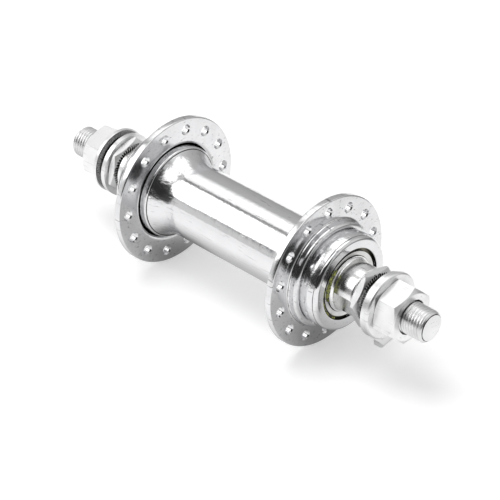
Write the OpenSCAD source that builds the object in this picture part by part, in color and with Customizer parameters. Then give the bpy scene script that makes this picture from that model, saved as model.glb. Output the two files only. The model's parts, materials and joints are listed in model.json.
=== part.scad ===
// Bicycle front hub: cup and cone bearings, threaded axle, two drilled flanges.
// The axle lies along Y through the origin, which is the hub's middle.
// The right side is -Y and the left side is +Y. Each side's own pieces are
// drawn with z running outboard from the hub's middle, and then turned.

/* [Axle] */
// Length of the axle, end to end
axle_len = 140; // [136:1:150]
// Diameter over the axle's thread
axle_d = 9.525; // [8.6:0.005:10.4]
// Pitch of the axle's thread
thread_pitch = 0.977; // [0.8:0.001:1.3]
// Depth of the thread below its crests
thread_depth = 0.5; // [0.3:0.05:0.6]
// Width of each thread crest
thread_crest = 0.25; // [0.15:0.05:0.35]
// Length of the thread at each end of the axle
thread_len = 45; // [40:1:55]
// Depth of the plain middle of the axle below the thread's crests
shank_relief = 0.3; // [0.1:0.05:0.6]
// Chamfer at each end of the axle
axle_chamfer = 0.9; // [0.3:0.1:1.5]

/* [Bearings] */
// Diameter of a bearing ball
ball_d = 4.7625; // [4.2:0.0125:5]
// Number of balls in each bearing
ball_count = 10; // [8:1:10]
// Diameter of the circle through the ball centres
ball_circle_d = 18.4; // [17.8:0.1:19.4]
// Distance from a flange's inner face out to its ball centres
ball_reach = 6.8; // [6.3:0.1:7.4]
// Running clearance between a ball and its races
race_clear = 0.05; // [0.02:0.01:0.09]
// Step where a race meets the plain wall beside it
race_relief = 0.1; // [0.05:0.01:0.15]
// Wall of the bearing cup behind the balls
cup_wall = 1.25; // [1:0.05:1.6]
// Thickness of the cup's floor
cup_floor = 1.2; // [0.8:0.05:1.6]
// Diameter of the hole in the cup's floor
cup_hole_d = 16; // [15:0.1:17]
// Height of the cup's mouth outboard of the ball centres
cup_lip = 2; // [1.6:0.1:2.2]
// Sheet thickness of the ball retainer
retainer_t = 0.35; // [0.25:0.05:0.45]
// Clearance of the retainer inside the cup's mouth
retainer_clear = 0.42; // [0.3:0.02:0.6]
// Width of a retainer finger between two balls, in degrees
finger_angle = 6; // [4:0.5:8]

/* [Cones] */
// Length of a cone's nose inboard of the ball centres
cone_nose = 2.6; // [2:0.1:3.2]
// Diameter of the cone's shoulder beside its race
cone_shoulder_d = 15.8; // [15.4:0.1:16.2]
// Distance from the ball centres out to the dust shield
shield_reach = 2.9; // [2.8:0.05:3.1]
// Diameter of the collar that holds the shield on the cone
cone_collar_d = 16.8; // [16.4:0.1:17.2]
// Thickness of that collar's rim, from which a fillet falls to the body
cone_collar_t = 0.3; // [0.2:0.05:0.4]
// Diameter of the cone's body
cone_body_d = 15; // [14.4:0.1:15.2]
// Size across the cone's wrench flats
cone_flat_af = 13; // [12.4:0.1:13.6]
// Length of the wrench flats
cone_flat_len = 6.7; // [5:0.1:7]
// Chamfer at the cone's ends
cone_chamfer = 0.4; // [0.2:0.05:0.6]
// Sheet thickness of the dust shield
shield_t = 0.6; // [0.4:0.05:0.8]
// How far the shield's rim is dished outboard
shield_dish = 0.3; // [0.1:0.05:0.4]
// Width of the flat ring by which the shield sits on the cone
shield_seat = 0.8; // [0.6:0.05:1]
// Gap between the dust shield's rim and the dust cap
shield_gap = 1; // [0.7:0.05:1.2]

/* [Shell] */
// Diameter of the barrel at its middle
barrel_d = 22.3; // [21:0.1:23]
// Wall of the barrel's tube
barrel_wall = 1.3; // [1:0.05:1.6]
// Diameter of the barrel's bell-shaped flare beside each bead
flare_d = 27.2; // [26.6:0.1:27.4]
// Length of the flare
flare_len = 8; // [6.5:0.1:9]
// Fullness of the flare's curve: 2 is a parabola, and more opens later
flare_curve = 2.4; // [2:0.1:3]
// Height of the bead beside the flange
bead_h = 0.6; // [0.4:0.05:0.65]
// Length of the bead's flat top inboard of the flange
bead_flat = 1; // [0.8:0.05:1.5]
// Width of the step inside the barrel, on which the bearing cup sits
cup_step = 1; // [0.8:0.05:1.2]
// Wall of the barrel's end around the bearing cup
end_wall = 1.4; // [1.1:0.05:1.7]
// Swell of the barrel's end, which holds the flange on
end_swell = 0.3; // [0.15:0.05:0.4]
// Step from the barrel's end up to the flange's seat
seat_step = 0.1; // [0.05:0.05:0.2]
// Depth of the groove between the flange's collar and the swell
end_groove = 0.5; // [0.3:0.05:0.7]
// Width of that groove
end_groove_w = 0.4; // [0.2:0.05:0.6]

/* [Flanges] */
// Distance from the hub's middle to each flange's inner face
flange_offset = 29.2; // [27.5:0.1:30]
// Diameter of the flanges
flange_d = 46.1; // [45:0.1:50]
// Thickness of the flanges
flange_t = 2.1; // [1.8:0.05:2.6]
// Wall of the flange's collar
collar_wall = 1.58; // [1.3:0.02:1.8]
// Height of the collar over the flange's outer face
collar_h = 2.9; // [2.4:0.1:3.2]
// Radius of the rounded end of the collar
collar_round = 1.1; // [0.6:0.05:1.25]
// Radius of the fillet between the flange and its collar
collar_fillet = 0.8; // [0.4:0.05:1.1]
// Radius rolled into the flange's inner edge
bore_round = 1.6; // [1.2:0.05:1.75]
// Chamfer on the flange's rim
rim_chamfer = 0.25; // [0.1:0.05:0.4]
// Diameter of the circle through the spoke holes
spoke_circle_d = 38.8; // [38.4:0.1:39.6]
// Number of spoke holes in each flange
spoke_holes = 14; // [12:1:18]
// Diameter of a spoke hole
spoke_hole_d = 2.6; // [2.2:0.05:3]
// Countersink at both ends of a spoke hole
spoke_sink = 0.3; // [0.1:0.05:0.4]

/* [Dust caps] */
// Diameter of the dust cap's hole
cap_hole_d = 21.8; // [21.4:0.1:22.2]
// Height of the cap over the barrel's end
cap_h = 1.3; // [1.1:0.05:1.5]
// Sheet thickness of the cap
cap_t = 0.8; // [0.6:0.05:0.9]
// Length of the cap's skirt inside the barrel
cap_skirt = 0.9; // [0.7:0.05:1.2]
// Radius of the cap's outer edge
cap_round = 1.1; // [0.6:0.05:1.1]
// How far the cap's top falls towards its hole
cap_fall = 0.1; // [0:0.05:0.2]

/* [Locknuts] */
// Distance between the outer faces of the two locknuts
over_locknuts = 100; // [99:0.5:104]
// Thickness of a locknut
locknut_t = 2.6; // [2.3:0.1:3]
// Size across the locknut's flats
locknut_af = 16; // [15.4:0.1:17]
// Diameter of the flat faces inside the locknut's chamfers
locknut_face_d = 15.2; // [14.8:0.1:15.3]
// Number of teeth in each serrated ring of a locknut
locknut_teeth = 30; // [24:1:32]
// Depth of the serrations
tooth_depth = 0.3; // [0.2:0.05:0.4]
// Inner diameter of the locknut's serrated rings
locknut_ring_d = 11.6; // [11.2:0.1:12.4]
// Width of the plain border outside the serrated rings
locknut_border = 0.15; // [0.1:0.05:0.4]

/* [Washers and nuts] */
// Diameter of the tab washer's disc
tab_washer_d = 19.6; // [18.8:0.1:20.2]
// Thickness of the tab washer
tab_washer_t = 1.5; // [1.2:0.1:1.8]
// How far the disc's centre lies from the bore towards the tab
tab_washer_shift = 0.5; // [0.2:0.05:0.8]
// Reach of the tab from the axle's centre
tab_reach = 14.6; // [13.6:0.1:15.5]
// Width of the tab
tab_w = 7; // [6:0.1:8]
// Length of the tab's hook inboard of the washer
hook_len = 2.2; // [1.8:0.1:2.4]
// Gap between the right locknut and the right tab washer
right_washer_gap = 2.5; // [2.4:0.1:3.5]
// Gap between the left tab washer and the left nut's washer
left_nut_gap = 1.75; // [1:0.05:2.5]
// Diameter of the serrated washer under each nut
nut_washer_d = 20; // [19.4:0.1:21]
// Thickness of the serrated washer
nut_washer_t = 1.4; // [1.2:0.05:1.7]
// Bevel on the serrated washer's outboard edge
nut_washer_bevel = 0.35; // [0.2:0.05:0.5]
// Number of teeth on the serrated washer
nut_washer_teeth = 36; // [28:1:40]
// Size across the axle nut's flats
nut_af = 15; // [14.6:0.1:16]
// Height of the axle nut's hexagon
nut_h = 7.2; // [6.4:0.1:7.8]
// Diameter of the nut's boss inside the serrated washer
nut_boss_d = 12.8; // [12.2:0.1:13.4]
// Depth by which that boss stays short of the washer's serrated face
nut_boss_short = 0.3; // [0.2:0.05:0.5]
// Diameter of the nut's flat outer face inside its chamfer
nut_face_d = 14.2; // [13.6:0.1:14.5]
// Chamfer at both ends of a threaded bore
bore_chamfer = 0.35; // [0.2:0.05:0.5]

/* [Fits] */
// Radial clearance of threaded bores over the axle's crests
thread_clear = 0.05; // [0.02:0.01:0.09]
// Radial clearance of the nut's boss in its washer, and of sliding washers
running_clear = 0.08; // [0.04:0.01:0.1]
// Radial clearance of pressed seats
press_gap = 0.02; // [0.01:0.005:0.04]
// Gap between flat faces that turn or slide on each other
face_gap = 0.05; // [0.03:0.01:0.1]

/* [Turned angles] */
// Angle of the first spoke hole in the left flange
left_spoke_angle = 0; // [0:0.1:25]
// Corner angle of the right locknut
right_locknut_angle = 54.5; // [0:0.5:60]
// Corner angle of the left locknut
left_locknut_angle = 16.5; // [0:0.5:60]
// Corner angle of the right axle nut
right_nut_angle = 17.5; // [0:0.5:60]
// Corner angle of the left axle nut
left_nut_angle = 22.5; // [0:0.5:60]
// Angle of the right cone's wrench flats
right_cone_angle = 21; // [0:1:180]
// Angle of the left cone's wrench flats
left_cone_angle = 100; // [0:1:180]
// Angle at which the right washer's tab points
right_tab_angle = -80; // [-120:1:-40]
// Angle at which the left washer's tab points
left_tab_angle = -60; // [-120:1:-40]

/* [Hidden] */
$fn = 96;

// Small overlap that lets a cutting shape pass its surface
over = 0.5;
// Steps in a curve of an outline
steps = 8;

axle_r = axle_d / 2;
axle_half = axle_len / 2;
thread_bore_r = axle_r + thread_clear;
slide_bore_r = axle_r + running_clear;

ball_r = ball_d / 2;
ball_circle_r = ball_circle_d / 2;
race_r = ball_r + race_clear;
ball_z = flange_offset + ball_reach;

cup_r = ball_circle_r + race_r + cup_wall;
cup_floor_z = ball_z - race_r - race_relief - cup_floor;
cup_mouth_z = ball_z + cup_lip;
cup_mouth_r = ball_circle_r + race_r + race_relief;

barrel_r = barrel_d / 2;
flare_r = flare_d / 2;
bead_r = flare_r + bead_h;
bead_z = flange_offset - bead_flat - bead_h;
flare_start_z = bead_z - flare_len;
cup_seat_r = cup_r + press_gap;
cup_step_r = cup_seat_r - cup_step;
barrel_end_r = cup_seat_r + end_wall;
barrel_seat_r = barrel_end_r + seat_step;
barrel_end_z = cup_mouth_z + cap_skirt;
collar_end_z = flange_offset + flange_t + collar_h;
flange_bore_r = barrel_seat_r + press_gap;
collar_r = flange_bore_r + collar_wall;
flange_r = flange_d / 2;
right_spoke_angle = left_spoke_angle + 180 / spoke_holes;

cap_hole_r = cap_hole_d / 2;
shield_r = cap_hole_r - shield_gap;
cone_body_r = cone_body_d / 2;
cone_end_z = over_locknuts / 2 - locknut_t;
cone_collar_r = cone_collar_d / 2;
cone_fillet = cone_collar_r - cone_body_r;
shield_z = ball_z + shield_reach;
cone_collar_z = shield_z + shield_t;

retainer_r = cup_mouth_r - retainer_clear;
retainer_z = ball_z + ball_r;
retainer_in_r = shield_r;

locknut_z = cone_end_z;
dropout_z = over_locknuts / 2;

// Inner face of each loose piece outboard of the locknuts
function tab_washer_z(side) = dropout_z + (side == "right" ? right_washer_gap : face_gap);
function nut_washer_z(side) =
    tab_washer_z(side) + tab_washer_t + (side == "right" ? face_gap : left_nut_gap);
function nut_z(side) = nut_washer_z(side) + nut_washer_t + face_gap;

// Corner radius of a hexagon from the size across its flats
function hex_r(af) = af / 2 / cos(30);

// Points on an arc in an outline
function arc_points(cx, cy, r, from, to) =
    [for (i = [0:steps]) [cx + r * cos(from + (to - from) * i / steps),
                          cy + r * sin(from + (to - from) * i / steps)]];

// Points on the flare's bell curve, which opens faster and faster
function bell_points(r0, r1) =
    [for (i = [0:steps]) [r0 + (r1 - r0) * pow(i / steps, flare_curve),
                          flare_start_z + flare_len * i / steps]];

// An outline run the other way
function backwards(points) = [for (i = [len(points) - 1:-1:0]) points[i]];

// An outline mirrored in z and run the other way
function mirrored(points) =
    [for (i = [len(points) - 1:-1:0]) [points[i][0], -points[i][1]]];

// Turns a piece drawn with z outboard to its side of the hub
module on_side(side) {
    if (side == "right")
        rotate([90, 0, 0]) children();
    else
        mirror([0, 1, 0]) rotate([90, 0, 0]) children();
}

// A bore along z from z0 to z1, with a chamfer at both ends
module chamfered_bore(r, z0, z1) {
    translate([0, 0, z0 - over]) cylinder(r = r, h = z1 - z0 + 2 * over);
    translate([0, 0, z0 - over]) cylinder(r1 = r + bore_chamfer + over, r2 = r, h = bore_chamfer + over);
    translate([0, 0, z1 - bore_chamfer]) cylinder(r1 = r, r2 = r + bore_chamfer + over, h = bore_chamfer + over);
}

// Radial V grooves that leave teeth on a flat face at z
module serrations(count, r0, r1, z) {
    for (i = [0:count - 1])
        rotate([0, 0, 360 * i / count])
            translate([(r0 + r1) / 2, 0, z])
                rotate([45, 0, 0])
                    cube([r1 - r0, tooth_depth * sqrt(2), tooth_depth * sqrt(2)], center = true);
}

// A hexagonal block with 30 degree chamfers, ending in round faces of diameter face0 and face1
module hex_block(af, h, face0, face1) {
    drop0 = (hex_r(af) - face0 / 2) * tan(30);
    drop1 = (hex_r(af) - face1 / 2) * tan(30);
    intersection() {
        cylinder(r = hex_r(af), h = h, $fn = 6);
        rotate_extrude()
            polygon([[0, 0], [face0 / 2, 0], [hex_r(af), drop0], [hex_r(af) + over, drop0],
                     [hex_r(af) + over, h - drop1], [hex_r(af), h - drop1], [face1 / 2, h], [0, h]]);
    }
}

// The threaded axle: ring grooves stand for its thread
module axle() {
    thread_end = axle_half - thread_len;
    turns = floor((thread_len - axle_chamfer) / thread_pitch);
    shank_r = axle_r - shank_relief;
    half = concat(
        [[shank_r, 0], [shank_r, thread_end - shank_relief], [axle_r, thread_end]],
        [for (i = [turns - 1:-1:0])
            let (top = axle_half - axle_chamfer - i * thread_pitch,
                 flank = (thread_pitch - thread_crest) / 2)
            each [[axle_r, top - 2 * flank - thread_crest],
                  [axle_r - thread_depth, top - flank - thread_crest],
                  [axle_r, top - thread_crest]]],
        [[axle_r, axle_half - axle_chamfer], [axle_r - axle_chamfer, axle_half], [0, axle_half]]);
    color("silver")
        rotate([90, 0, 0])
            rotate_extrude()
                polygon(concat(mirrored(half), half));
}

// The cone: ball race, shoulder and collar for the dust shield, round body and wrench flats
module cone(side, flat_angle) {
    color("gainsboro")
        on_side(side)
            difference() {
                rotate_extrude()
                    difference() {
                        polygon([[axle_r, ball_z - cone_nose],
                                 [ball_circle_r - race_r - race_relief - cone_chamfer, ball_z - cone_nose],
                                 [ball_circle_r - race_r - race_relief, ball_z - cone_nose + cone_chamfer],
                                 [ball_circle_r - race_r - race_relief, ball_z],
                                 [cone_shoulder_d / 2, ball_z],
                                 [cone_shoulder_d / 2, cone_collar_z],
                                 [cone_collar_r, cone_collar_z],
                                 each arc_points(cone_collar_r, cone_collar_z + cone_collar_t + cone_fillet,
                                                 cone_fillet, -90, -180),
                                 [cone_body_r, cone_end_z - cone_chamfer],
                                 [cone_body_r - cone_chamfer, cone_end_z],
                                 [axle_r, cone_end_z]]);
                        translate([ball_circle_r, ball_z]) circle(r = race_r);
                    }
                chamfered_bore(thread_bore_r, ball_z - cone_nose, cone_end_z);
                for (turn = [0, 180])
                    rotate([0, 0, flat_angle + turn])
                        translate([cone_flat_af / 2, -cone_body_d, cone_end_z - cone_flat_len])
                            cube([cone_body_d, 2 * cone_body_d, cone_flat_len + over]);
            }
}

// The dished dust shield pressed on the cone
module dust_shield(side) {
    bore_r = cone_shoulder_d / 2 + press_gap;
    flat_r = bore_r + shield_seat;
    color("whitesmoke")
        on_side(side)
            rotate_extrude()
                polygon([[bore_r, shield_z], [flat_r, shield_z],
                         [shield_r, shield_z + shield_dish],
                         [shield_r, shield_z + shield_dish + shield_t],
                         [flat_r, shield_z + shield_t], [bore_r, shield_z + shield_t]]);
}

// The thin locknut, with a serrated ring on both faces
module locknut(side, angle) {
    color("lightgray")
        on_side(side)
            translate([0, 0, locknut_z])
                rotate([0, 0, angle])
                    difference() {
                        hex_block(locknut_af, locknut_t, locknut_face_d, locknut_face_d);
                        chamfered_bore(thread_bore_r, 0, locknut_t);
                        for (face_z = [0, locknut_t])
                            serrations(locknut_teeth, locknut_ring_d / 2,
                                       locknut_face_d / 2 - locknut_border, face_z);
                    }
}

// The barrel: tube, flares, beads, flange seats and swelled ends
module barrel() {
    groove_z = collar_end_z + end_groove_w;
    outer = concat(
        [[barrel_r, 0]],
        bell_points(barrel_r, flare_r),
        arc_points(flare_r, bead_z + bead_h, bead_h, -90, 0),
        [[bead_r, flange_offset], [barrel_seat_r, flange_offset + bore_round / 2],
         [barrel_seat_r, collar_end_z], [barrel_seat_r - end_groove, collar_end_z],
         [barrel_seat_r - end_groove, groove_z]],
        [for (i = [0:steps]) [barrel_end_r + end_swell * sin(180 * i / steps),
                              groove_z + (barrel_end_z - groove_z) * i / steps]]);
    bore = concat(
        [[cup_seat_r, barrel_end_z], [cup_seat_r, cup_floor_z], [cup_step_r, cup_floor_z]],
        backwards(bell_points(barrel_r - barrel_wall, cup_step_r)),
        [[barrel_r - barrel_wall, 0]]);
    color("silver")
        rotate([90, 0, 0])
            rotate_extrude()
                polygon(concat(mirrored(outer), outer, bore, mirrored(bore)));
}

// A flange: drilled disc with its drawn collar outboard
module flange(side, angle) {
    outer_z = flange_offset + flange_t;
    color("silver")
        on_side(side)
            difference() {
                rotate_extrude()
                    polygon(concat(
                        arc_points(flange_bore_r + bore_round, flange_offset + bore_round, bore_round, 180, 270),
                        [[flange_r - rim_chamfer, flange_offset], [flange_r, flange_offset + rim_chamfer],
                         [flange_r, outer_z - rim_chamfer], [flange_r - rim_chamfer, outer_z]],
                        arc_points(collar_r + collar_fillet, outer_z + collar_fillet, collar_fillet, 270, 180),
                        arc_points(collar_r - collar_round, collar_end_z - collar_round, collar_round, 0, 90),
                        [[flange_bore_r, collar_end_z]]));
                for (i = [0:spoke_holes - 1])
                    rotate([0, 0, angle + 360 * i / spoke_holes])
                        translate([spoke_circle_d / 2, 0, 0])
                            spoke_hole(outer_z);
            }
}

// One spoke hole with a countersink at each face
module spoke_hole(outer_z) {
    hole_r = spoke_hole_d / 2;
    translate([0, 0, flange_offset - over])
        cylinder(r = hole_r, h = flange_t + 2 * over);
    translate([0, 0, flange_offset - over])
        cylinder(r1 = hole_r + spoke_sink + over, r2 = hole_r, h = spoke_sink + over);
    translate([0, 0, outer_z - spoke_sink])
        cylinder(r1 = hole_r, r2 = hole_r + spoke_sink + over, h = spoke_sink + over);
}

// The bearing cup pressed into the barrel's end
module bearing_cup(side) {
    color("darkgray")
        on_side(side)
            rotate_extrude()
                difference() {
                    polygon([[cup_hole_d / 2, cup_floor_z], [cup_r, cup_floor_z],
                             [cup_r, cup_mouth_z], [cup_mouth_r, cup_mouth_z],
                             [cup_mouth_r, ball_z], [ball_circle_r, ball_z],
                             [ball_circle_r, cup_floor_z + cup_floor],
                             [cup_hole_d / 2, cup_floor_z + cup_floor]]);
                    translate([ball_circle_r, ball_z]) circle(r = race_r);
                }
}

// The dust cap: rounded lip over the barrel's end, with a skirt inside it
module dust_cap(side) {
    top_z = barrel_end_z + cap_h;
    skirt_r = cup_mouth_r + press_gap;
    color("gainsboro")
        on_side(side)
            rotate_extrude()
                polygon(concat(
                    [[skirt_r, cup_mouth_z], [cup_r, cup_mouth_z], [cup_r, barrel_end_z],
                     [barrel_end_r, barrel_end_z]],
                    arc_points(barrel_end_r - cap_round, top_z - cap_round, cap_round, 0, 90),
                    [[cap_hole_r, top_z - cap_fall], [cap_hole_r, top_z - cap_t],
                     [skirt_r, top_z - cap_t]]));
}

// The balls of one bearing
module bearing_balls(side) {
    color("lightsteelblue")
        on_side(side)
            for (i = [0:ball_count - 1])
                rotate([0, 0, 360 * i / ball_count])
                    translate([ball_circle_r, 0, ball_z])
                        sphere(r = ball_r);
}

// The retainer: a ring outboard of the balls with a curved finger between each two
module ball_retainer(side) {
    finger_out = race_r - retainer_t;
    finger_in = finger_out - retainer_t;
    stem = finger_in / 2;
    color("darkkhaki")
        on_side(side) {
            rotate_extrude()
                translate([retainer_in_r, retainer_z])
                    square([retainer_r - retainer_in_r, retainer_t]);
            for (i = [0:ball_count - 1])
                rotate([0, 0, 360 * (i + 0.5) / ball_count - finger_angle / 2])
                    rotate_extrude(angle = finger_angle)
                        translate([ball_circle_r, ball_z]) {
                            difference() {
                                circle(r = finger_out);
                                circle(r = finger_in);
                                polygon([[0, 0], [stem, ball_d], [-ball_d, ball_d], [-ball_d, -ball_d],
                                         [-stem, -ball_d]]);
                            }
                            translate([stem, finger_in - retainer_t])
                                square([retainer_t, ball_r + 1.5 * retainer_t - finger_in]);
                        }
        }
}

// The tab washer: a disc drawn out to a tab, whose end hooks inboard
module tab_washer(side, angle) {
    disc_r = tab_washer_d / 2;
    reach = tab_reach - tab_washer_shift;
    touch = atan2(tab_w / 2, reach) + acos(disc_r / norm([reach, tab_w / 2]));
    color("gainsboro")
        on_side(side)
            translate([0, 0, tab_washer_z(side)])
                rotate([0, 0, angle])
                    difference() {
                        union() {
                            linear_extrude(tab_washer_t)
                                translate([tab_washer_shift, 0]) {
                                    circle(r = disc_r);
                                    polygon([[disc_r * cos(touch), disc_r * sin(touch)],
                                             [0, 0],
                                             [disc_r * cos(touch), -disc_r * sin(touch)],
                                             [reach, -tab_w / 2], [reach, tab_w / 2]]);
                                }
                            translate([tab_reach - tab_washer_t, -tab_w / 2, -hook_len])
                                cube([tab_washer_t, tab_w, hook_len + tab_washer_t]);
                        }
                        translate([0, 0, -over])
                            cylinder(r = slide_bore_r, h = tab_washer_t + 2 * over);
                    }
}

// The serrated washer that stays on the axle nut
module nut_washer(side) {
    r = nut_washer_d / 2;
    bore_r = nut_boss_d / 2 + running_clear;
    color("gainsboro")
        on_side(side)
            translate([0, 0, nut_washer_z(side)])
                difference() {
                    rotate_extrude()
                        polygon([[bore_r, 0], [r, 0], [r, nut_washer_t - nut_washer_bevel],
                                 [r - nut_washer_bevel, nut_washer_t], [bore_r, nut_washer_t]]);
                    serrations(nut_washer_teeth, bore_r + nut_washer_bevel, r + over, 0);
                }
}

// The axle nut: hexagon with a boss that carries its washer
module axle_nut(side, angle) {
    boss_z = nut_washer_t + face_gap - nut_boss_short;
    color("white")
        on_side(side)
            translate([0, 0, nut_z(side)])
                rotate([0, 0, angle])
                    difference() {
                        union() {
                            hex_block(nut_af, nut_h, nut_af, nut_face_d);
                            translate([0, 0, -boss_z]) cylinder(d = nut_boss_d, h = boss_z + over);
                        }
                        chamfered_bore(thread_bore_r, -boss_z, nut_h);
                    }
}

axle();
cone("right", right_cone_angle);  // right_cone
cone("left", left_cone_angle);  // left_cone
dust_shield("right");  // right_dust_shield
dust_shield("left");  // left_dust_shield
locknut("right", right_locknut_angle);  // right_locknut
locknut("left", left_locknut_angle);  // left_locknut
barrel();
flange("right", right_spoke_angle);  // right_flange
flange("left", left_spoke_angle);  // left_flange
bearing_cup("right");  // right_bearing_cup
bearing_cup("left");  // left_bearing_cup
dust_cap("right");  // right_dust_cap
dust_cap("left");  // left_dust_cap
bearing_balls("right");  // right_bearing_balls
bearing_balls("left");  // left_bearing_balls
ball_retainer("right");  // right_ball_retainer
ball_retainer("left");  // left_ball_retainer
tab_washer("right", right_tab_angle);  // right_tab_washer
tab_washer("left", left_tab_angle);  // left_tab_washer
nut_washer("right");  // right_nut_washer
nut_washer("left");  // left_nut_washer
axle_nut("right", right_nut_angle);  // right_axle_nut
axle_nut("left", left_nut_angle);  // left_axle_nut
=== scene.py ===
import json
import math
import random

import bmesh
import bpy
from mathutils import Matrix, Vector


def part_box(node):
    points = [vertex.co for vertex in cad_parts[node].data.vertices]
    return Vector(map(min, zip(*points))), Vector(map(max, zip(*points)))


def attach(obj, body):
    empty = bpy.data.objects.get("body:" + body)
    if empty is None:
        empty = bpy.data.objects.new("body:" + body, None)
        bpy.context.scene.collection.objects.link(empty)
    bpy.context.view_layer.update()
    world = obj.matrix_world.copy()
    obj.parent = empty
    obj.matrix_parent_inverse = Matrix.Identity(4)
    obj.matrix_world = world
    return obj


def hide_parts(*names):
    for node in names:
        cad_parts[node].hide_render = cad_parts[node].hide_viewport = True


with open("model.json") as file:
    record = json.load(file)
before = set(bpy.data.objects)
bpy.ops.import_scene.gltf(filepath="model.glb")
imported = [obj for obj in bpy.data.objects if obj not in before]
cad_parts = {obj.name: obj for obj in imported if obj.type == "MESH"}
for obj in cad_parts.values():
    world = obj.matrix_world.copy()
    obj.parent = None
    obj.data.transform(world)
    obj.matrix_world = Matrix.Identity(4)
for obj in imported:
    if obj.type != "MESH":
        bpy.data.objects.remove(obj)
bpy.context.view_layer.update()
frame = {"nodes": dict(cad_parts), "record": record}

# The camera stands above and to the front right of the hub, as in the photo.
# Its place and lens come from fitting the spoke holes, so no shift is needed.
camera_at = Vector((-0.4168, -0.4094, 0.3847))
camera_aim = Vector((-0.00189, -0.00296, -0.0051))
camera_lens = 175.39
camera_sensor = 36
camera_near = 0.01
camera_data = bpy.data.cameras.new("camera")
camera_data.lens = camera_lens
camera_data.sensor_width = camera_sensor
camera_data.clip_start = camera_near
camera = bpy.data.objects.new("camera", camera_data)
camera.location = camera_at
camera.rotation_mode = "QUATERNION"
camera.rotation_quaternion = (camera_aim - camera_at).to_track_quat("-Z", "Y")
bpy.context.collection.objects.link(camera)
bpy.context.scene.camera = camera
bpy.context.scene.view_settings.view_transform = "Standard"

# A white room: the camera and every reflection see plain white behind the hub.
# Softer light than that reaches the surfaces, so that pale metal doesn't clip.
room_white = (1, 1, 1, 1)
room_light = 0.35


def add(tree, kind, inputs=(), **settings):
    """Adds a shader node, sets or wires its inputs, and gives back its outputs."""
    made = tree.nodes.new("ShaderNode" + kind)
    for setting, value in settings.items():
        setattr(made, setting, value)
    given = inputs.items() if isinstance(inputs, dict) else enumerate(inputs)
    for key, value in given:
        if isinstance(value, bpy.types.NodeSocket):
            tree.links.new(value, made.inputs[key])
        else:
            made.inputs[key].default_value = value
    return made.outputs


def reckon(tree, operation, *values):
    """One sum on numbers or on the outputs of other nodes."""
    return add(tree, "Math", values, operation=operation)[0]


world = bpy.data.worlds.new("room")
bpy.context.scene.world = world
world.use_nodes = True
room = world.node_tree
room.nodes.clear()
sight = add(room, "LightPath")
eye_or_gloss = reckon(room, "MAXIMUM", sight["Is Camera Ray"], sight["Is Glossy Ray"])
any_sight = reckon(room, "MAXIMUM", eye_or_gloss, sight["Is Transmission Ray"])
seen = add(room, "Background", {"Color": room_white})[0]
lit = add(room, "Background", {"Color": room_white, "Strength": room_light})[0]
chosen = add(room, "MixShader", (any_sight, lit, seen))[0]
add(room, "OutputWorld", (chosen,))

# The floor is a white sheet under the flanges, and it keeps the hub's shadow.
# It glows a little for the eye alone, so that it is white out of the shadow. The
# metal sees a glow with painted light and shade in its stead: white at the back left,
# grey under the hub as a painted shadow, and dark at the far front.
floor_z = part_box("right_flange")[0].z
floor_reach = 3.0
floor_glow = 0.42
floor_white = 0.82
# Distances towards the front right, in metres, and the level that the metal sees there
floor_way = (0.6, -0.8, 0)
floor_tones = ((-0.16, 1.0), (0.09, 1.0), (0.13, 0.62), (0.17, 0.3), (0.3, 0.17))
# The floor's level in the hub's painted shade, as the metal sees it, and clear of it on both sides
shade_low = 0.5
shade_high = 1.08
shade_reach = 0.04
# The painted shade fades away between these distances along the axle from the hub's middle
shade_fades_from = 0.056
shade_fades_to = 0.078
# The darker painted shade where the flanges touch the floor, at this distance from the middle
contact_y = 0.0303
contact_level = 0.42
contact_near = 0.003
contact_far = 0.02


def placed(name, bm):
    """Puts a finished mesh in the scene as an object of its own."""
    mesh = bpy.data.meshes.new(name)
    bm.to_mesh(mesh)
    bm.free()
    made = bpy.data.objects.new(name, mesh)
    bpy.context.collection.objects.link(made)
    return made


def ramp(tree, value, start, end, low=0.0, high=1.0, soft=False):
    """Goes from low to high while a value goes from start to end, gently if it is soft."""
    ease = "SMOOTHSTEP" if soft else "LINEAR"
    return add(tree, "MapRange", (value, start, end, low, high), interpolation_type=ease)[0]


sheet = bmesh.new()
sheet_corners = ((-1, -1), (1, -1), (1, 1), (-1, 1))
sheet.faces.new([sheet.verts.new((x * floor_reach, y * floor_reach, floor_z)) for x, y in sheet_corners])
floor = placed("floor", sheet)

floor_paint = bpy.data.materials.new("floor_white")
floor_paint.use_nodes = True
tree = floor_paint.node_tree
tree.nodes.clear()
place = add(tree, "TexCoord")["Object"]
matt = add(tree, "BsdfDiffuse", {"Color": (floor_white, floor_white, floor_white, 1)})[0]
glow = add(tree, "Emission", {"Strength": floor_glow})[0]
both = add(tree, "AddShader", (matt, glow))[0]

nearest = floor_tones[0][0]
furthest = floor_tones[-1][0]
slant = add(tree, "VectorMath", (place, floor_way), operation="DOT_PRODUCT")["Value"]
along = ramp(tree, slant, nearest, furthest)
tones = tree.nodes.new("ShaderNodeFloatCurve")
curve = tones.mapping.curves[0]
curve.points[0].location = (0, floor_tones[0][1])
curve.points[1].location = (1, floor_tones[-1][1])
for distance, tone in floor_tones[1:-1]:
    curve.points.new((distance - nearest) / (furthest - nearest), tone)
tones.mapping.update()
tree.links.new(along, tones.inputs["Value"])

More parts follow.
